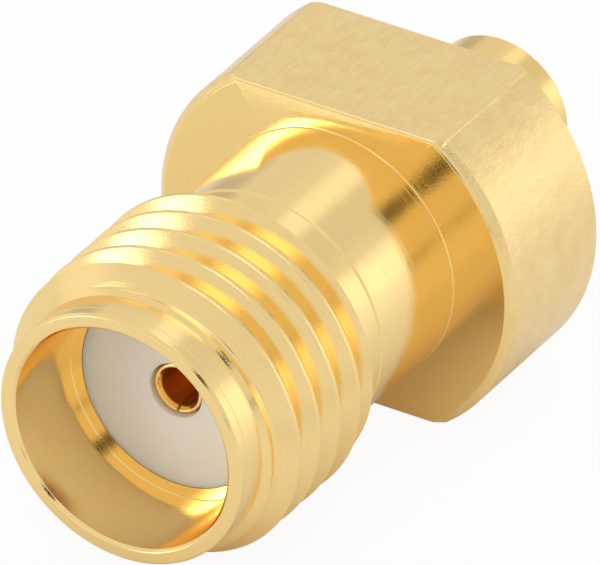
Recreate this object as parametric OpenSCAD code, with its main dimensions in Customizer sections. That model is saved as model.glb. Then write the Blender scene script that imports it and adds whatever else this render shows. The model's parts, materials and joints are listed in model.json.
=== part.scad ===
// Straight coaxial cable jack with a 1/4-36 coupling thread and a two-flat flange.
// The connector lies along Y: the mating mouth faces -Y, the cable tail points to +Y, and the two
// wrench flats face +Z and -Z. The origin is on the axis, at the reference plane where the socket ends.

/* [Mating socket] */
// Bore that takes the plug's outer conductor
socket_d = 4.6; // [4.5:0.02:4.7]
// Depth of that bore, from the front rim to the reference plane
socket_depth = 1.96; // [1.8:0.02:2.1]
// Chamfer round the mouth of the bore
mouth_chamfer = 0.06; // [0.03:0.01:0.08]

/* [Nose] */
// Outside of the plain nose in front of the thread
nose_d = 5.25; // [5.21:0.02:5.33]
// Length of the nose, from the front rim to the foot of the lead-in cone
nose_len = 0.74; // [0.6:0.02:0.8]
// Chamfer round the nose's outer front edge
nose_chamfer = 0.05; // [0.03:0.01:0.08]

/* [Coupling thread] */
// Major diameter of the thread
thread_d = 6.2; // [6.1:0.02:6.3]
// Pitch: 36 turns to the inch
thread_pitch = 0.7056; // [0.6:0.01:0.8]
// Minor diameter at the flat root of the thread
thread_root_d = 5.42; // [5.4:0.02:5.7]
// Included angle of the thread's flanks
thread_angle = 60; // [50:1:65]
// Where the crest of the first full turn passes the top, behind the front rim
first_crest_y = 1.148; // [1:0.01:1.3]
// Half angle of the lead-in cone
lead_in_angle = 50; // [40:1:60]
// Where the thread's rear shoulder starts, behind the front rim
shoulder_y = 3.97; // [3.9:0.01:4]
// Half angle of that shoulder, which slopes down to the relief groove
shoulder_angle = 50; // [45:1:54]
// Facets in a turn of the helix
thread_facets = 40; // [24:4:60]

/* [Neck] */
// Plain neck between the thread's relief groove and the flange
neck_d = 5.22; // [5.12:0.02:5.32]
// Depth of the relief groove below the neck
relief_depth = 0.035; // [0.02:0.005:0.05]
// Where the relief groove ends and the neck starts, behind the front rim
relief_end = 5.02; // [4.8:0.02:5.2]
// Radius in the corner between the neck and the flange
neck_fillet = 0.05; // [0.02:0.01:0.1]

/* [Flange] */
// Diameter of the flange before its flats are milled
flange_d = 7.8; // [7.4:0.05:8.5]
// Front face of the flange, behind the front rim
flange_y = 7.58; // [7:0.02:8.2]
// Thickness of the flange
flange_len = 3.2; // [2.5:0.1:4]
// Distance across the two wrench flats
across_flats = 6.2; // [6:0.05:6.6]
// Chamfer round the flange's front edge
flange_front_chamfer = 0.17; // [0.05:0.01:0.3]
// Chamfer round the flange's rear edge
flange_rear_chamfer = 0.06; // [0.03:0.01:0.2]

/* [Cable tail] */
// Outside of the tail
tail_d = 2.96; // [2.8:0.02:3.2]
// Length of the tail behind the flange
tail_len = 2.84; // [2:0.02:4]
// Radius round the tail's end
tail_edge_r = 0.05; // [0.03:0.01:0.15]
// Bore that takes the jacket of the cable
cable_d = 2.25; // [2.2:0.01:2.4]
// Depth of that bore, from the end of the tail
cable_depth = 4.6; // [3.5:0.1:4.8]
// Chamfer at the mouth of the cable bore
cable_chamfer = 0.08; // [0.04:0.01:0.12]
// Passage for the inner part of the cable, through the wall behind the insulator
passage_d = 1.7; // [1.6:0.02:1.9]

/* [Insulator] */
// Bore of the body that holds the insulator
seat_d = 4.1; // [4:0.02:4.3]
// Gap all round between the insulator and its bore
seat_gap = 0.01; // [0.005:0.005:0.02]
// Length of the insulator behind the reference plane
insulator_len = 5.9; // [5.5:0.1:6.4]
// Edge break on both ends of the insulator
insulator_edge = 0.04; // [0.02:0.01:0.1]

/* [Centre contact] */
// Outside of the contact
contact_d = 1.1; // [1.08:0.02:1.3]
// Gap all round between the contact and the insulator
contact_gap = 0.01; // [0.005:0.005:0.03]
// How far the tip sits behind the reference plane
contact_recess = 0.08; // [0.05:0.01:0.2]
// Outside of the tip, where the spring fingers close in
tip_d = 1.02; // [0.98:0.01:1.06]
// Length over which the fingers taper to the tip
tip_len = 0.4; // [0.2:0.05:0.8]
// Bore that grips the plug's pin
pin_d = 0.8; // [0.76:0.01:0.84]
// Depth of the pin bore
pin_depth = 2.6; // [2.2:0.1:2.8]
// Radial width of the countersink round the mouth of the pin bore
pin_chamfer = 0.05; // [0.02:0.005:0.06]
// Half angle of that countersink
pin_chamfer_angle = 30; // [25:1:45]
// Width of the slot that parts the two fingers
slot_w = 0.06; // [0.05:0.01:0.12]
// Length of the slot from the tip
slot_len = 2.1; // [1.5:0.1:2.2]
// Largest diameter of the barb that holds the contact in the insulator
barb_d = 1.5; // [1.4:0.02:1.6]
// Where the barb's cone starts, behind the contact's tip
barb_y = 3; // [2.9:0.1:3.5]
// Length of the barb's cone
barb_len = 0.5; // [0.3:0.1:0.8]
// Length of the contact from its tip to its solder cup's end
contact_len = 6.4; // [6:0.1:6.5]
// Bore of the solder cup for the cable's inner wire
cup_d = 0.56; // [0.5:0.02:0.7]
// Depth of the solder cup
cup_depth = 1.4; // [1:0.1:2]

/* [Hidden] */
$fn = 96;

// How far a cutting solid reaches past the metal that it cuts
over = 0.5;
// How far the thread cutter stands out of the blank, less than where its turns would meet
cutter_out = 0.04;
// Steps in a quarter circle of a rounded edge
edge_steps = 6;

nose_r = nose_d / 2;
thread_r = thread_d / 2;
root_r = thread_root_d / 2;
neck_r = neck_d / 2;
flange_r = flange_d / 2;
tail_r = tail_d / 2;
tail_end = flange_y + flange_len + tail_len;
relief_r = neck_r - relief_depth;
lead_in_end = nose_len + (thread_r - nose_r) / tan(lead_in_angle);
flank_slope = tan(thread_angle / 2);
// Flat of the crest, an eighth of the pitch, and the flat of the root that is left beside the flanks
crest_flat = thread_pitch / 8;
root_flat = thread_pitch - crest_flat - 2 * (thread_r - root_r) * flank_slope;
// The cutter starts half a turn before the first crest passes the top, clear of the lead-in cone,
// and runs on until it has left the thread's rear shoulder, a tenth of a turn or more behind it
first_turn = -0.5;
last_y = shoulder_y + (thread_r - root_r) / tan(shoulder_angle) + root_flat / 2;
last_turn = (last_y - first_crest_y) / thread_pitch + 0.6;
thread_steps = ceil((last_turn - first_turn) * thread_facets);
// Distances behind the front rim: the insulator's end, the contact's tip and the step of its barb
insulator_end = socket_depth + insulator_len;
tip_y = socket_depth + contact_recess;
barb_end = tip_y + barb_y + barb_len;

// Turns an outline drawn in (radius, distance behind the front rim) about the connector's axis,
// and puts the reference plane at the origin
module turned() {
    translate([0, -socket_depth, 0]) rotate([-90, 0, 0]) rotate_extrude() children();
}

// Points of an arc about (cx, cy), in (radius, distance) of the turned outline
function arc(cx, cy, r, from_a, to_a) =
    [for (i = [0:edge_steps]) let (a = from_a + (to_a - from_a) * i / edge_steps)
        [cx + r * cos(a), cy + r * sin(a)]];

// Outline of the bar-turned body before it is threaded and milled
module body_blank() {
    turned() polygon(concat(
        [[0, 0], [nose_r - nose_chamfer, 0], [nose_r, nose_chamfer], [nose_r, nose_len],
         [thread_r, lead_in_end], [thread_r, shoulder_y],
         [relief_r, shoulder_y + (thread_r - relief_r) / tan(shoulder_angle)],
         [relief_r, relief_end], [neck_r, relief_end + relief_depth]],
        arc(neck_r + neck_fillet, flange_y - neck_fillet, neck_fillet, 180, 90),
        [[flange_r - flange_front_chamfer, flange_y], [flange_r, flange_y + flange_front_chamfer],
         [flange_r, flange_y + flange_len - flange_rear_chamfer],
         [flange_r - flange_rear_chamfer, flange_y + flange_len], [tail_r, flange_y + flange_len]],
        arc(tail_r - tail_edge_r, tail_end - tail_edge_r, tail_edge_r, 0, 90),
        [[0, tail_end]]
    ));
}

// Stepped hole through the body: socket, insulator seat, passage and cable bore
module body_bores() {
    turned() polygon([
        [0, -over], [socket_d / 2 + mouth_chamfer + over, -over], [socket_d / 2, mouth_chamfer],
        [socket_d / 2, socket_depth], [seat_d / 2, socket_depth],
        [seat_d / 2, insulator_end], [passage_d / 2, insulator_end],
        [passage_d / 2, tail_end - cable_depth], [cable_d / 2, tail_end - cable_depth],
        [cable_d / 2, tail_end - cable_chamfer],
        [cable_d / 2 + cable_chamfer + over, tail_end + over], [0, tail_end + over]
    ]);
}

// Section of the V-shaped thread cutter at a turn of its path: two points at its tip, then two
// outside the metal
function cutter_section(turn) =
    let (a = 360 * turn,
         y = first_crest_y + thread_pitch * (turn - 0.5) - socket_depth,
         out_r = thread_r + cutter_out,
         in_half = root_flat / 2,
         out_half = in_half + (out_r - root_r) * flank_slope)
    [for (p = [[root_r, -in_half], [root_r, in_half], [out_r, out_half], [out_r, -out_half]])
        [p[0] * sin(a), y + p[1], p[0] * cos(a)]];

// Helical path of the thread cutter, right-handed, as one closed solid
module thread_cutter() {
    sections = [for (i = [0:thread_steps]) cutter_section(first_turn + i / thread_facets)];
    sides = [for (i = [0:thread_steps - 1], k = [0:3])
        let (next = (k + 1) % 4, a = 4 * i, b = 4 * (i + 1))
        each [[a + k, b + k, b + next], [a + k, b + next, a + next]]];
    last = 4 * thread_steps;
    ends = [[0, 1, 2], [0, 2, 3], [last + 2, last + 1, last], [last + 3, last + 2, last]];
    polyhedron(points = [for (s = sections) each s], faces = concat(sides, ends), convexity = 12);
}

// Milling cuts that leave the two wrench flats
module flat_cuts() {
    for (side = [0, 1]) mirror([0, 0, side])
        translate([-flange_r, flange_y - over - socket_depth, across_flats / 2])
            cube([flange_d, flange_len + 2 * over, flange_r]);
}

// Gold-plated body: nose, thread, neck, flange and cable tail turned from one bar
module body() {
    color([0.91, 0.75, 0.42]) difference() {
        body_blank();
        body_bores();
        thread_cutter();
        flat_cuts();
    }
}

// White plastic insulator, pushed in from the front against the wall behind its seat, with a groove
// that has closed round the contact's barb
module insulator() {
    outer_r = seat_d / 2 - seat_gap;
    hole_r = contact_d / 2 + contact_gap;
    color([0.9, 0.86, 0.82]) difference() {
        turned() polygon([
            [0, socket_depth], [outer_r - insulator_edge, socket_depth],
            [outer_r, socket_depth + insulator_edge], [outer_r, insulator_end - insulator_edge],
            [outer_r - insulator_edge, insulator_end], [0, insulator_end]
        ]);
        turned() polygon([
            [0, socket_depth - over], [hole_r, socket_depth - over], [hole_r, tip_y + barb_y],
            [barb_d / 2 + contact_gap, barb_end], [hole_r, barb_end],
            [hole_r, insulator_end + over], [0, insulator_end + over]
        ]);
    }
}

// Gold-plated female contact with two spring fingers, a barb and a solder cup
module centre_contact() {
    end_y = tip_y + contact_len;
    color([0.85, 0.62, 0.25]) difference() {
        turned() polygon([
            [0, tip_y], [tip_d / 2, tip_y], [contact_d / 2, tip_y + tip_len],
            [contact_d / 2, tip_y + barb_y], [barb_d / 2, barb_end], [contact_d / 2, barb_end],
            [contact_d / 2, end_y], [0, end_y]
        ]);
        turned() polygon([
            [0, tip_y - over],
            [pin_d / 2 + pin_chamfer + over * tan(pin_chamfer_angle), tip_y - over],
            [pin_d / 2, tip_y + pin_chamfer / tan(pin_chamfer_angle)],
            [pin_d / 2, tip_y + pin_depth], [0, tip_y + pin_depth]
        ]);
        turned() translate([0, end_y - cup_depth]) square([cup_d / 2, cup_depth + over]);
        translate([-slot_w / 2, tip_y - over - socket_depth, -contact_d])
            cube([slot_w, slot_len + over, 2 * contact_d]);
    }
}

body();
insulator();
centre_contact();
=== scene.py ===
# %% [markdown]
# # A gold-plated coaxial cable jack
#
# The part is a small turned connector: a body with a coupling thread and a two-flat flange, a white
# insulator, and a slotted gold contact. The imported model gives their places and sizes. Here each one is
# modelled again with finer faces and small real edges, and gets its finish.

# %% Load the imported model
import json
import math
import bpy
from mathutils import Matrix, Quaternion, Vector

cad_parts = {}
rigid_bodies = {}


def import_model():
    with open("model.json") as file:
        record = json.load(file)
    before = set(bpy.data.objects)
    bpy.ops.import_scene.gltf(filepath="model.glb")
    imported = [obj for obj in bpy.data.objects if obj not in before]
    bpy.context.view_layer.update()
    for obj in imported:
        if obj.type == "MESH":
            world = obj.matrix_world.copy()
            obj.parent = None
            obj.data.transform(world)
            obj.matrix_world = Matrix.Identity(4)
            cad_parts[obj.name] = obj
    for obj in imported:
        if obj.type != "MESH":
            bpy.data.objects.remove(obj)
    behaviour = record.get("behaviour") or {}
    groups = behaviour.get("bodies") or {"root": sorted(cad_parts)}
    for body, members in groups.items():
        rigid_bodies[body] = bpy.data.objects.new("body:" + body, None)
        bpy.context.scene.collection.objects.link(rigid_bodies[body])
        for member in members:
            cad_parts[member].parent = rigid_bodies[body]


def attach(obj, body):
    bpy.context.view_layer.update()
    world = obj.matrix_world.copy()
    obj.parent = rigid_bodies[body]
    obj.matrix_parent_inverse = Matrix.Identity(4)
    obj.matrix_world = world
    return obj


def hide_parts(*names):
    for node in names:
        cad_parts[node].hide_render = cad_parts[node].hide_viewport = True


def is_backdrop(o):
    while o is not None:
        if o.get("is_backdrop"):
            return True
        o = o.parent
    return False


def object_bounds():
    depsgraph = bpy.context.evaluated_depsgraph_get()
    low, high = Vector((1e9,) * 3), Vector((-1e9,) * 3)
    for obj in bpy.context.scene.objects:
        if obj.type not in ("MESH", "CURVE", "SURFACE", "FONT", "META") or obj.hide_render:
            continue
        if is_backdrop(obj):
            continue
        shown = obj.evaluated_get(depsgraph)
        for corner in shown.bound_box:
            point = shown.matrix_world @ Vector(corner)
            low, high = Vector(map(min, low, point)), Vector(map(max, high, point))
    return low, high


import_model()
cad_low, cad_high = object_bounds()
MM = 0.001
print("model box, mm:", [round(v / MM, 3) for v in cad_high - cad_low])

# %% [markdown]
# ## Sizes
#
# These are the connector's own sizes, in millimetres. Distances along the axis are counted from the front
# rim, as a maker would dial them in on a lathe; the reference plane, where the model has its origin, lies
# 1.96 mm behind that rim.

# %% Name the sizes
SOCKET_DEPTH = 1.96
SOCKET_R = 2.30
NOSE_R = 2.625
NOSE_END = 0.74
RING_MARK = 0.251
THREAD_R = 3.10
ROOT_R = 2.71
PITCH = 0.7056
FIRST_CREST = 1.148
SHOULDER = 3.97
SHOULDER_ANGLE = math.radians(50)
RELIEF_R = 2.575
SHOULDER_END = SHOULDER + (THREAD_R - RELIEF_R) / math.tan(SHOULDER_ANGLE)
RELIEF_END = 5.02
NECK_R = 2.61
NECK_FILLET = 0.03
FLANGE_R = 3.895
FLANGE_FRONT = 7.58
FLANGE_BACK = 10.78
FRONT_CHAMFER = 0.17
REAR_CHAMFER = 0.15
FLAT_HEIGHT = 3.10
FLAT_EDGE = 0.05
TAIL_R = 1.48
TAIL_END = 13.62
TAIL_EDGE = 0.05
CABLE_R = 1.125
CABLE_STOP = 9.02
PASSAGE_R = 0.85
SEAT_R = 2.05
SEAT_END = 7.86
BLEND = 0.01
TURN_STEPS = 256
print("thread turns from", round(FIRST_CREST, 2), "to", SHOULDER, "mm behind the rim")

# %% [markdown]
# ## Turning on a lathe
#
# Nearly all of the connector is made by turning, so the first helper is a lathe. A plane is added and
# merged down to one point, the point is extruded from corner to corner of the outline, and the closed
# outline is spun round the axis. A lathe modifier could do the same, but with the spin operator the
# result is a plain mesh that later cuts can work on. Blender's tools merge points that are closer than
# about a thousandth of a millimetre in metres, so the shapes are drawn a thousand times too big, one
# metre to the millimetre, and shrunk when they are done.

# %% Make the lathe
def nothing_selected():
    if bpy.context.object and bpy.context.object.mode != "OBJECT":
        bpy.ops.object.mode_set(mode="OBJECT")
    bpy.ops.object.select_all(action="DESELECT")


def only(piece):
    nothing_selected()
    piece.select_set(True)
    bpy.context.view_layer.objects.active = piece


def draw_outline(name, corners):
    nothing_selected()
    bpy.ops.mesh.primitive_plane_add(size=1, location=(0, 0, 0))
    piece = bpy.context.object
    piece.name = piece.data.name = name
    bpy.ops.object.mode_set(mode="EDIT")
    bpy.ops.mesh.select_all(action="SELECT")
    bpy.ops.mesh.merge(type="CENTER")
    bpy.ops.transform.translate(value=(*corners[0], 0))
    for here, there in zip(corners, corners[1:]):
        step = (there[0] - here[0], there[1] - here[1], 0)
        bpy.ops.mesh.extrude_region_move(TRANSFORM_OT_translate={"value": step})
    bpy.ops.object.mode_set(mode="OBJECT")
    ends = (0, len(corners) - 1)
    for vertex in piece.data.vertices:
        vertex.select = vertex.index in ends
    bpy.ops.object.mode_set(mode="EDIT")
    bpy.ops.mesh.edge_face_add()
    bpy.ops.object.mode_set(mode="OBJECT")
    return piece


def turn(name, corners, steps=TURN_STEPS):
    piece = draw_outline(name, [(r, y - SOCKET_DEPTH) for r, y in corners])
    bpy.ops.object.mode_set(mode="EDIT")
    bpy.ops.mesh.select_all(action="SELECT")
    bpy.ops.mesh.spin(steps=steps, angle=2 * math.pi, center=(0, 0, 0), axis=(0, 1, 0))
    bpy.ops.mesh.select_all(action="SELECT")
    bpy.ops.mesh.remove_doubles(threshold=0.0005)
    bpy.ops.mesh.normals_make_consistent(inside=False)
    bpy.ops.object.mode_set(mode="OBJECT")
    return piece


def rounded(centre_r, centre_y, radius, from_angle, to_angle, parts=4):
    angles = [math.radians(from_angle + (to_angle - from_angle) * i / parts) for i in range(parts + 1)]
    return [(centre_r + radius * math.cos(a), centre_y + radius * math.sin(a)) for a in angles]


def chamfered(radius, y, size, inward):
    corners = [(size + BLEND, 0), (size - BLEND, BLEND), (BLEND, size - BLEND), (0, size + BLEND)]
    return [(radius - step_r, y + inward * step_y) for step_r, step_y in corners[::inward]]


def cut(piece, tool):
    only(piece)
    removal = piece.modifiers.new("cut", "BOOLEAN")
    removal.operation = "DIFFERENCE"
    removal.solver = "MANIFOLD"
    removal.object = tool
    bpy.ops.object.modifier_apply(modifier=removal.name)
    bpy.data.objects.remove(tool, do_unlink=True)


print("lathe ready,", TURN_STEPS, "steps to a turn")

# %% [markdown]
# ## The body's blank
#
# On a real lathe the bar is first turned to its outline and drilled, and the thread comes later. The
# outline below runs round the metal once: over the nose, the lead-in cone, the thread's outside, the
# relief groove, the neck, the flange and the tail, and back through the cable bore, the passage, the
# insulator's seat and the socket. Edges are broken by small arcs, since a sharp plated edge never stays
# sharp, and it is those arcs that catch the light as thin bright lines.

# %% Turn the blank
def nose_outline():
    return [
        (2.368, 0.0), (NOSE_R - 0.056, 0.0), (NOSE_R - 0.048, 0.004), (NOSE_R - 0.004, 0.046),
        (NOSE_R, 0.056), (NOSE_R, RING_MARK - 0.016), (NOSE_R - BLEND, RING_MARK - 0.004),
        (NOSE_R - BLEND, RING_MARK + 0.004), (NOSE_R, RING_MARK + 0.016),
        (NOSE_R, NOSE_END - 0.005), (NOSE_R + 0.004, NOSE_END + 0.005),
    ]


def thread_and_neck_outline():
    return [
        (THREAD_R, 1.1386), (THREAD_R, SHOULDER - 0.012), (THREAD_R - 0.006, SHOULDER + 0.004),
        (RELIEF_R + BLEND, SHOULDER_END - 0.008), (RELIEF_R, SHOULDER_END + 0.006),
        (RELIEF_R, RELIEF_END - 0.005), (RELIEF_R + 0.004, RELIEF_END + 0.003),
        (NECK_R - 0.004, RELIEF_END + 0.031), (NECK_R, RELIEF_END + 0.041),
    ]


def flange_and_tail_outline():
    return [
        *rounded(NECK_R + NECK_FILLET, FLANGE_FRONT - NECK_FILLET, NECK_FILLET, 180, 90),
        *chamfered(FLANGE_R, FLANGE_FRONT, FRONT_CHAMFER, 1),
        *chamfered(FLANGE_R, FLANGE_BACK, REAR_CHAMFER, -1),
        *rounded(TAIL_R + NECK_FILLET, FLANGE_BACK + NECK_FILLET, NECK_FILLET, 270, 180, 3),
        *rounded(TAIL_R - TAIL_EDGE, TAIL_END - TAIL_EDGE, TAIL_EDGE, 0, 90),
    ]


def bore_outline():
    return [
        (CABLE_R + 0.08, TAIL_END), (CABLE_R, TAIL_END - 0.08), (CABLE_R, CABLE_STOP),
        (PASSAGE_R, CABLE_STOP), (PASSAGE_R, SEAT_END), (SEAT_R, SEAT_END), (SEAT_R, SOCKET_DEPTH),
        (SOCKET_R - 0.012, SOCKET_DEPTH), (SOCKET_R, SOCKET_DEPTH - 0.012), (SOCKET_R, 0.066),
        (SOCKET_R + 0.006, 0.052), (2.356, 0.005),
    ]


def body_outline():
    return nose_outline() + thread_and_neck_outline() + flange_and_tail_outline() + bore_outline()


body = turn("body_gold", body_outline())
print("blank:", len(body.data.polygons), "faces")

# %% [markdown]
# ## Cutting the thread
#
# A thread is a groove that runs round and along at once. Its cutting tool is drawn as one section, a V
# with a small flat at its tip and a flare where it leaves the metal, and the Screw modifier sweeps that
# section along the helix. The flare takes the sharp corner off each crest. At the end of its path the tool
# leaves the metal over the relief groove, which is turned behind a thread so that the tool has somewhere
# to stop. The swept tool is then taken away from the blank.

# %% Sweep the cutter and cut the groove
FIRST_TURN = -0.75
LAST_TURN = 5.25
FLANK = math.tan(math.radians(30))
TIP_HALF = 0.0825
CREST_BREAK = 0.016


def groove_section():
    flare_r = THREAD_R - CREST_BREAK
    flare_half = TIP_HALF + (flare_r - ROOT_R) * FLANK
    top_r = THREAD_R + 0.012
    side = [
        (ROOT_R, TIP_HALF - 0.03), (ROOT_R + 0.012, TIP_HALF - 0.002), (ROOT_R + 0.045, TIP_HALF + 0.026),
        (flare_r, flare_half), (top_r, flare_half + (top_r - flare_r) * 1.5),
    ]
    return [(r, -y) for r, y in side] + [(r, y) for r, y in reversed(side)]


def thread_tool():
    section = groove_section()
    start_y = FIRST_CREST + PITCH * (FIRST_TURN - 0.5)
    turns = LAST_TURN - FIRST_TURN
    tool = draw_outline("thread_tool", [(r, y + start_y - SOCKET_DEPTH) for r, y in section])
    sweep = tool.modifiers.new("sweep", "SCREW")
    sweep.axis = "Y"
    sweep.angle = 2 * math.pi * turns
    sweep.screw_offset = PITCH * turns
    sweep.steps = sweep.render_steps = int(TURN_STEPS * turns)
    sweep.use_smooth_shade = False
    bpy.ops.object.modifier_apply(modifier=sweep.name)
    print("tool path:", len(tool.data.vertices) // len(section), "sections")
    return tool


def close_ends(tool):
    only(tool)
    bpy.ops.object.mode_set(mode="EDIT")
    bpy.ops.mesh.select_all(action="DESELECT")
    bpy.ops.mesh.select_mode(type="EDGE")
    bpy.ops.mesh.select_non_manifold(extend=False, use_wire=False, use_multi_face=False,
                                     use_non_contiguous=False, use_verts=False)
    bpy.ops.mesh.fill_holes(sides=0)
    bpy.ops.mesh.select_mode(type="VERT")
    bpy.ops.mesh.select_all(action="SELECT")
    bpy.ops.mesh.normals_make_consistent(inside=False)
    bpy.ops.object.mode_set(mode="OBJECT")


tool = thread_tool()
close_ends(tool)
cut(body, tool)
print("threaded body:", len(body.data.polygons), "faces")

# %% [markdown]
# ## Milling the flats
#
# After turning, two flats are milled across the flange so that a wrench can hold it. A plated edge is
# never quite sharp, so each flat is cut twice: one cutter is shaped to round the edges at the flange's two
# faces, and the other to break the two long edges at its round side. Both only reach over the flange,
# because the thread's crests stand exactly as high as the flats.

# %% Mill the two flats with shaped cutters
LONG_EDGE = 0.021
CUTTER_TOP = 5.0


def shaped_cut(piece, corners, length, middle_y, turn_z):
    cutter = draw_outline("cutter", corners)
    bpy.ops.object.mode_set(mode="EDIT")
    bpy.ops.mesh.select_all(action="SELECT")
    bpy.ops.mesh.edge_face_add()
    bpy.ops.mesh.extrude_region_move(TRANSFORM_OT_translate={"value": (0, 0, length)})
    bpy.ops.mesh.select_all(action="SELECT")
    bpy.ops.transform.translate(value=(0, 0, -length / 2))
    bpy.ops.mesh.normals_make_consistent(inside=False)
    bpy.ops.object.mode_set(mode="OBJECT")
    cutter.rotation_euler = (math.radians(90), 0, math.radians(turn_z))
    cutter.location = (0, middle_y, 0)
    bpy.ops.object.transform_apply(location=True, rotation=True, scale=True)
    cut(piece, cutter)


def mill_flat(piece, side):
    half_length = (FLANGE_BACK - FLANGE_FRONT) / 2
    half_width = math.sqrt(FLANGE_R ** 2 - FLAT_HEIGHT ** 2)
    across = [
        (half_length + 0.058, FLAT_HEIGHT - 3 * FLAT_EDGE), (half_length, FLAT_HEIGHT - FLAT_EDGE),
        (half_length - 0.0183, FLAT_HEIGHT - 0.0183), (half_length - FLAT_EDGE, FLAT_HEIGHT),
    ]
    along = [(half_width + 0.5, FLAT_HEIGHT - 0.172), (half_width - LONG_EDGE, FLAT_HEIGHT)]
    middle_y = (FLANGE_FRONT + FLANGE_BACK) / 2 - SOCKET_DEPTH
    for slope, length, turn_z in ((across, 2 * FLANGE_R + 1, 90), (along, 2 * half_length + 0.1, 0)):
        corners = [(slope[0][0], CUTTER_TOP)] + slope
        corners += [(-x, z) for x, z in reversed(corners)]
        shaped_cut(piece, [(x, z * side) for x, z in corners], length, middle_y, turn_z)


mill_flat(body, 1)
mill_flat(body, -1)
print("milled body:", len(body.data.polygons), "faces")

# %% [markdown]
# ## The insulator and the contact
#
# The insulator is a turned sleeve of white plastic. The contact is turned as well, then slotted from its
# tip, so that two spring fingers close on the plug's pin. Both are turned on the same lathe as the body,
# and only their outlines differ.

# %% Turn the insulator and the contact
INSULATOR_R = 2.04
HOLE_R = 0.56
TIP = SOCKET_DEPTH + 0.08
CONTACT_R = 0.55
BORE_R = 0.40
BORE_DEPTH = 2.6
BARB = 3.5
BARB_RISE = 0.20
CUP_R = 0.28
CUP_DEPTH = 1.4
CONTACT_LENGTH = 6.4
SLOT = 0.06
SLOT_LENGTH = 2.1


def insulator_outline():
    face = SOCKET_DEPTH
    barb = TIP + BARB
    return [
        (HOLE_R + 0.015, face), (INSULATOR_R - 0.014, face), (INSULATOR_R - 0.004, face + 0.004),
        (INSULATOR_R, face + 0.014), (INSULATOR_R, SEAT_END - 0.04), (INSULATOR_R - 0.04, SEAT_END),
        (HOLE_R, SEAT_END), (HOLE_R, barb), (HOLE_R + BARB_RISE, barb), (HOLE_R, barb - 0.5),
        (HOLE_R, face + 0.03), (HOLE_R + 0.005, face + 0.012),
    ]


def contact_outline():
    barb, end = TIP + BARB, TIP + CONTACT_LENGTH
    return [
        (0.452, TIP + 0.003), (0.460, TIP), (0.492, TIP), (0.507, TIP + 0.010), (0.512, TIP + 0.035),
        (CONTACT_R, TIP + 0.4), (CONTACT_R, barb - 0.5), (CONTACT_R + BARB_RISE, barb), (CONTACT_R, barb),
        (CONTACT_R, end - 0.02), (CONTACT_R - 0.02, end), (CUP_R + 0.02, end), (CUP_R, end - 0.02),
        (CUP_R, end - CUP_DEPTH), (0.0, end - CUP_DEPTH), (0.0, TIP + BORE_DEPTH), (BORE_R, TIP + BORE_DEPTH),
        (BORE_R, TIP + 0.095), (BORE_R + 0.003, TIP + 0.082),
    ]


def slot_contact(piece):
    nothing_selected()
    overrun = 0.5
    middle = TIP - SOCKET_DEPTH + (SLOT_LENGTH - overrun) / 2
    bpy.ops.mesh.primitive_cube_add(size=1, location=(0, middle, 0))
    saw = bpy.context.object
    saw.scale = (SLOT, SLOT_LENGTH + overrun, 2)
    bpy.ops.object.transform_apply(location=True, rotation=True, scale=True)
    cut(piece, saw)


insulator = turn("insulator_sleeve", insulator_outline(), 192)
contact = turn("contact_gold", contact_outline(), 128)
slot_contact(contact)
print("insulator and contact:", len(insulator.data.polygons), len(contact.data.polygons), "faces")

# %% [markdown]
# ## Back to real size
#
# Each piece is shrunk to metres and its size is applied, so that its place stays in its mesh. Smooth
# shading with weighted normals then lets the broad faces keep their true direction up to the tiny arcs at
# their edges, which take up all of the turn. It stands in for the CAD node of the same form.

# %% Shrink, smooth and put on the frame
def finish_piece(piece, node, angle):
    only(piece)
    bpy.ops.object.shade_smooth_by_angle(angle=math.radians(angle))
    even = piece.modifiers.new("even", "WEIGHTED_NORMAL")
    even.mode = "FACE_AREA"
    even.weight = 50
    even.thresh = 0.0001
    even.keep_sharp = True
    bpy.ops.object.modifier_apply(modifier=even.name)
    piece.scale = (MM, MM, MM)
    bpy.ops.object.transform_apply(location=True, rotation=True, scale=True)
    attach(piece, "root")
    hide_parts(node)
    print(piece.name, "triangles:", sum(len(face.vertices) - 2 for face in piece.data.polygons))


finish_piece(body, "body", 38)
finish_piece(insulator, "insulator", 30)
finish_piece(contact, "centre_contact", 38)

# %% [markdown]
# ## Looking at it
#
# The connector lies level on its lower flat and on the thread's crests. It is looked at from its mouth's
# side, from the right and from above. A lens so long that parallel edges stay parallel stands half a metre
# away; an orthographic camera would do the same, but a lens can still be moved closer later.

# %% Place the camera
AZIMUTH, ELEVATION, ROLL = 31.543, 32.563, -0.15
AIM = Vector((-0.132, 4.628, -0.188))
DISTANCE = 497.41
LENS = 1600


def place_camera():
    azimuth, elevation, roll = map(math.radians, (AZIMUTH, ELEVATION, ROLL))
    back = Vector((math.sin(azimuth) * math.cos(elevation), -math.cos(azimuth) * math.cos(elevation),
                   math.sin(elevation)))
    lens = bpy.data.cameras.new("camera")
    lens.sensor_width = 36
    lens.lens = LENS
    lens.clip_start, lens.clip_end = 0.1, 1.0
    camera = bpy.data.objects.new("camera", lens)
    bpy.context.collection.objects.link(camera)
    camera.location = (AIM + back * DISTANCE) * MM
    camera.rotation_mode = "QUATERNION"
    turn_about_view = Vector((0, 0, 1))
    camera.rotation_quaternion = (-back).to_track_quat("-Z", "Y") @ Quaternion(turn_about_view, roll)
    bpy.context.scene.camera = camera
    print("camera at, mm:", [round(value / MM, 1) for value in camera.location])


place_camera()
bpy.context.scene.view_settings.view_transform = "Standard"

# %% [markdown]
# ## Arithmetic with nodes
#
# A finish is a formula: where is this point, how rough is it, what colour does it have. Formulas are easier
# to read as Python than as a pile of nodes, so a Wire wraps one output and turns +, -, * and / into Math
# nodes, and a Sheet holds the node tree and adds any other node in one call. Each finish starts from the
# point's place in millimetres and its distance from the axis, since the whole connector was turned.

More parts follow.
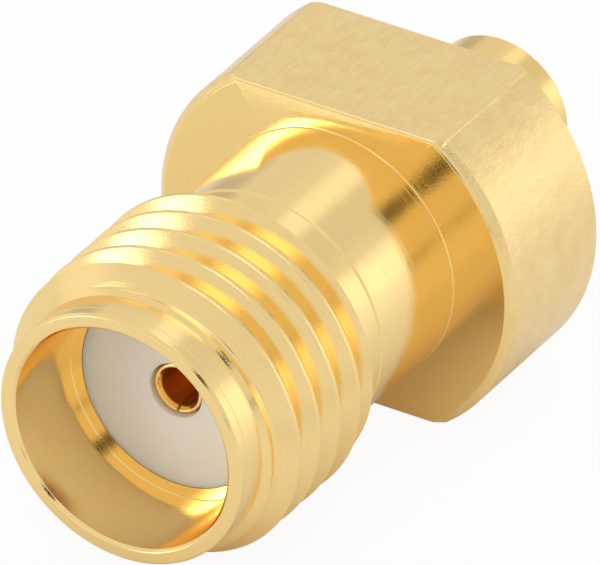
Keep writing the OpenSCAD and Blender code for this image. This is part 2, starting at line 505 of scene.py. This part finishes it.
# %% Wrap the node tree
class Wire:
    def __init__(self, sheet, socket):
        self.sheet, self.socket = sheet, socket

    def __add__(self, other):
        return self.sheet.math("ADD", self, other)

    def __sub__(self, other):
        return self.sheet.math("SUBTRACT", self, other)

    def __rsub__(self, other):
        return self.sheet.math("SUBTRACT", other, self)

    def __mul__(self, other):
        return self.sheet.math("MULTIPLY", self, other)

    def __truediv__(self, other):
        return self.sheet.math("DIVIDE", self, other)

    def __rtruediv__(self, other):
        return self.sheet.math("DIVIDE", other, self)

    __radd__, __rmul__ = __add__, __mul__


class Sheet:
    def __init__(self, tree):
        self.tree = tree

    def add(self, kind, settings=None, sockets=None, output=0):
        node = self.tree.nodes.new(kind)
        for name, value in (settings or {}).items():
            setattr(node, name, value)
        for name, value in (sockets or {}).items():
            if isinstance(value, Wire):
                self.tree.links.new(value.socket, node.inputs[name])
            else:
                node.inputs[name].default_value = value
        return Wire(self, node.outputs[output])

    def math(self, operation, first, second=0.0):
        return self.add("ShaderNodeMath", {"operation": operation}, {0: first, 1: second})

    def between(self, value, low, high):
        smooth = {"interpolation_type": "SMOOTHSTEP"}
        return self.add("ShaderNodeMapRange", smooth, {0: value, 1: low, 2: high})

    def mix(self, factor, first, second):
        colours = [(*c, 1) if isinstance(c, tuple) else c for c in (first, second)]
        return self.add("ShaderNodeMix", {"data_type": "RGBA"}, {0: factor, 6: colours[0], 7: colours[1]}, 2)

    def vector(self, x, y, z):
        return self.add("ShaderNodeCombineXYZ", None, {0: x, 1: y, 2: z})

    def noise(self, vector, scale, detail, roughness):
        sockets = {"Vector": vector, "Scale": scale, "Detail": detail, "Roughness": roughness}
        return self.add("ShaderNodeTexNoise", None, sockets)

    def bump(self, height, distance):
        return self.add("ShaderNodeBump", None, {"Distance": distance, "Height": height})


def new_finish(name, **constants):
    material = bpy.data.materials.new(name)
    material.use_nodes = True
    shader = material.node_tree.nodes["Principled BSDF"]
    for socket, value in constants.items():
        shader.inputs[socket.replace("_", " ")].default_value = value
    return material, Sheet(material.node_tree), shader


def drive(sheet, shader, **wires):
    for socket, wire in wires.items():
        sheet.tree.links.new(wire.socket, shader.inputs[socket.replace("_", " ")])


def place_of_point(sheet):
    at = sheet.add("ShaderNodeTexCoord", None, None, "Object")
    at_mm = sheet.add("ShaderNodeVectorMath", {"operation": "SCALE"}, {0: at, "Scale": 1 / MM})
    x, y, z = (sheet.add("ShaderNodeSeparateXYZ", None, {0: at_mm}, axis) for axis in range(3))
    return at_mm, x, y, z, sheet.math("SQRT", x * x + z * z)


print("helpers ready")

# %% [markdown]
# ## Gold on turned brass
#
# The body is brass with a thin gold plating. Plating follows every mark of the tool under it, so the
# marks make the look: fine rings round everything that was turned, and short streaks along the two flats,
# which were milled. One pattern serves all turned faces, because it is drawn over the distance along the
# axis plus the distance from it, and at least one of the two changes on every turned face. The lines are
# deepest on the neck next to the flange and faint on the flange's face. The flange's outside is duller,
# blotched and a little tan, as small parts get where they touch while they tumble in a plating barrel.

# %% Finish of the body
GOLD = (0.985, 0.74, 0.34)
GOLD_DEEP = (0.955, 0.68, 0.26)
TAN = (0.91, 0.65, 0.28)
PALE = (1.0, 0.77, 0.38)
# A deeper gold for inside the contact's bore: painted shade for that recess.
BORE_GOLD_PAINTED_SHADE = (0.97, 0.68, 0.30)
MARK_DEPTH = 0.004 * MM


def gold_finish():
    material, sheet, shader = new_finish("gold_plated_brass", Metallic=1.0)
    at, x, y, z, radius = place_of_point(sheet)
    front = FLANGE_FRONT - SOCKET_DEPTH
    behind_face = sheet.between(y, front + 0.02, front + 0.08)
    on_flange = behind_face * sheet.between(radius, NECK_R + 0.1, NECK_R + 0.2)
    on_flat = on_flange * sheet.between(sheet.math("ABSOLUTE", z), FLAT_HEIGHT - 0.03, FLAT_HEIGHT - 0.01)
    by_flange = sheet.between(y, front - 0.7, front - 0.1)
    on_face = sheet.between(y, front - 0.02, front - 0.005)
    round_x, round_z, along = x / radius, z / radius, y + radius
    rings = sheet.noise(sheet.vector(round_x, round_z, along * 16), 1.0, 3.0, 0.6)
    lines = sheet.noise(sheet.vector(round_x * 0.6, round_z * 0.6, along * 55), 1.0, 1.0, 0.5)
    streaks = sheet.noise(sheet.vector(x * 11, y * 1.8, z), 1.0, 3.0, 0.6)
    grain = sheet.noise(at, 26.0, 2.0, 0.6)
    blotches = sheet.noise(at, 2.4, 5.0, 0.7)
    turned = rings * 0.35 + lines * (0.10 + by_flange * 0.6 - on_face * 0.55)
    tumbled = blotches * 5.0 + streaks * on_flat * 2.0
    marks = turned * (1 - on_flange) + grain * 0.35 + tumbled * on_flange
    cut_shade = sheet.between(rings * 0.3 + lines * (0.4 - on_face * 0.3) + grain * 0.4, 0.28, 0.72)
    worn_shade = sheet.between(blotches * 0.4 + grain * 0.2 + streaks * 0.4, 0.3, 0.7)
    cut_colour = sheet.mix(cut_shade, GOLD_DEEP, GOLD)
    worn_colour = sheet.mix(worn_shade, TAN, PALE)
    drive(sheet, shader,
          Base_Color=sheet.mix(on_flange, cut_colour, worn_colour),
          Roughness=0.07 + grain * 0.08 + on_flange * (0.05 + blotches * 0.18),
          Normal=sheet.bump(marks, MARK_DEPTH))
    return material


def wear(piece, material):
    piece.data.materials.clear()
    piece.data.materials.append(material)


wear(body, gold_finish())
print("body finish:", len(body.data.materials[0].node_tree.nodes), "nodes")

# %% [markdown]
# ## The contact and the insulator
#
# The contact is plated too, but its bore was drilled and left rougher, and deep in it the light has bounced
# so often that only red is left of it; on top of that the bore's colour is a deeper gold, which is painted
# shade for the recess. The insulator is a milky white plastic, cut on a lathe, with faint rings; some light
# enters it and comes out again close by, which subsurface scattering stands for.
# Its warm tint is painted light: the glow that the gold socket round it throws onto the white plastic.

# %% Finishes of the contact and the insulator
def contact_finish():
    material, sheet, shader = new_finish("gold_plated_contact", Metallic=1.0)
    at, _, _, _, radius = place_of_point(sheet)
    grain = sheet.noise(at, 12.0, 3.0, 0.6)
    in_bore = sheet.between(radius, BORE_R + 0.03, BORE_R + 0.005)
    outside = sheet.mix(grain, GOLD_DEEP, GOLD)
    # Inside the bore the colour turns a deeper gold, painted shade for the recess; the higher roughness there
    # is the drilled surface.
    drive(sheet, shader,
          Base_Color=sheet.mix(in_bore, outside, BORE_GOLD_PAINTED_SHADE),
          Roughness=0.10 + grain * 0.10 + in_bore * 0.15,
          Normal=sheet.bump(grain, MARK_DEPTH / 2))
    return material


def insulator_finish():
    material, sheet, shader = new_finish("white_fluoroplastic", Metallic=0.0, Subsurface_Weight=0.8,
                                         Subsurface_Radius=(1, 0.7, 0.5), Subsurface_Scale=0.4 * MM)
    _, x, y, _, radius = place_of_point(sheet)
    rings = sheet.noise(sheet.vector(x * 0.4, y * 0.4, radius * 12), 1.0, 2.0, 0.5)
    # Both colours are tinted warm as painted light bounced from the gold socket; the rings vary the tone at
    # random.
    drive(sheet, shader,
          Base_Color=sheet.mix(rings, (0.99, 0.88, 0.79), (1.0, 0.91, 0.83)),
          Roughness=0.40 + rings * 0.2,
          Normal=sheet.bump(rings, MARK_DEPTH / 4))
    return material


wear(contact, contact_finish())
wear(insulator, insulator_finish())
print("three finishes")

# %% [markdown]
# ## Light and floor
#
# Polished metal shows its surroundings, so the light is a tent: pale on all sides, with one bright window
# low at the front left, a wide lamp overhead, and the dark opening for the camera. Each patch is a round
# spot on the sky with a soft edge, given by the direction of its middle, its radius, the softness of its
# edge and its strength. In a studio this takes card and cloth round the table; spots on the sky do the
# same without a lamp to place. The floor is white and a little glossy. It glows for the camera, so that
# it melts into the white behind it, and keeps a faint shadow. The light may bounce sixteen times, because
# it only comes back out of the contact's narrow bore after many turns.

# %% Put up the light tent and the floor
TENT = 0.82
TENT_RISE = 0.04
TENT_LEAST = 0.02
WINDOW = [(-43, 3, 9, 4, 4.2), (-42, 8, 13, 3, 1.2), (-64, 12, 14, 8, 0.15), (-12, 4, 10, 6, 0.7)]
OVERHEAD = [(142, 73, 14, 8, 0.9), (-100, 60, 10, 6, 0.35)]
RIGHT_SIDE = [(100, 5, 11, 6, 0.6), (90, 22, 8, 5, -0.1)]
CAMERA_OPENING = [(33.5, 28, 6.0, 1.5, -0.80), (44, 0, 3.5, 1, -0.4)]
BEHIND = [
    (138, 5, 13, 6, 0.45), (-137, 6, 12, 5, -0.25), (180, 44, 6, 5, 0.25), (158, 36, 12, 6, -0.08),
    (-148, 31, 9, 6, -0.04),
]
PATCHES = WINDOW + OVERHEAD + RIGHT_SIDE + CAMERA_OPENING + BEHIND
FLOOR_WHITE = (0.93, 0.93, 0.93, 1)
FLOOR_SEEN = 0.93
FLOOR_MIRRORED = 0.05


def light_tent():
    world = bpy.data.worlds.new("light_tent")
    bpy.context.scene.world = world
    world.use_nodes = True
    sheet = Sheet(world.node_tree)
    toward = sheet.add("ShaderNodeTexCoord", None, None, "Generated")
    up = sheet.add("ShaderNodeSeparateXYZ", None, {0: toward}, 2)
    light = TENT + up * TENT_RISE
    for azimuth, elevation, radius, soft, strength in PATCHES:
        a, e = math.radians(azimuth), math.radians(elevation)
        middle = (math.sin(a) * math.cos(e), -math.cos(a) * math.cos(e), math.sin(e))
        near = sheet.add("ShaderNodeVectorMath", {"operation": "DOT_PRODUCT"}, {0: toward, 1: middle}, 1)
        edge, full = math.cos(math.radians(radius + soft)), math.cos(math.radians(radius - soft))
        light = light + sheet.between(near, edge, full) * strength
    light = sheet.math("MAXIMUM", light, TENT_LEAST)
    seen = sheet.add("ShaderNodeLightPath", None, None, "Is Camera Ray")
    background = world.node_tree.nodes["Background"]
    background.inputs["Color"].default_value = (1, 1, 1, 1)
    world.node_tree.links.new((light * (1 - seen) + seen).socket, background.inputs["Strength"])


def lay_floor():
    nothing_selected()
    bpy.ops.mesh.primitive_plane_add(size=1.2, location=(0, 0, -FLAT_HEIGHT * MM))
    floor = bpy.context.object
    floor.name = floor.data.name = "floor"
    material, sheet, shader = new_finish("white_floor", Base_Color=FLOOR_WHITE, Roughness=0.12)
    rays = [sheet.add("ShaderNodeLightPath", None, None, ray)
            for ray in ("Is Camera Ray", "Is Glossy Ray", "Is Transmission Ray")]
    direct = rays[0] * FLOOR_SEEN + rays[1] * FLOOR_MIRRORED
    seen = sheet.math("MAXIMUM", direct, rays[2] * FLOOR_SEEN)
    glow = sheet.add("ShaderNodeEmission", None, {"Color": (1, 1, 1, 1), "Strength": 1.0})
    both = sheet.add("ShaderNodeMixShader", None, {0: seen, 1: Wire(sheet, shader.outputs[0]), 2: glow})
    material.node_tree.links.new(both.socket, material.node_tree.nodes["Material Output"].inputs["Surface"])
    wear(floor, material)
    floor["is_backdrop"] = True


light_tent()
lay_floor()
bpy.context.scene.cycles.max_bounces = 16
bpy.context.scene.cycles.glossy_bounces = 12
print("patches on the tent:", len(PATCHES))

# %% [markdown]
# ## Closing
#
# The box of the finished model is printed next to the box of the imported one, so that the two can be
# compared.

# %% Print the boxes
low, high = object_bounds()
corners = {"cad_low": cad_low, "cad_high": cad_high, "visual_low": low, "visual_high": high}
boxes = {name: list(corner) for name, corner in corners.items()}
for name, corner in boxes.items():
    print(name, [round(value / MM, 3) for value in corner])
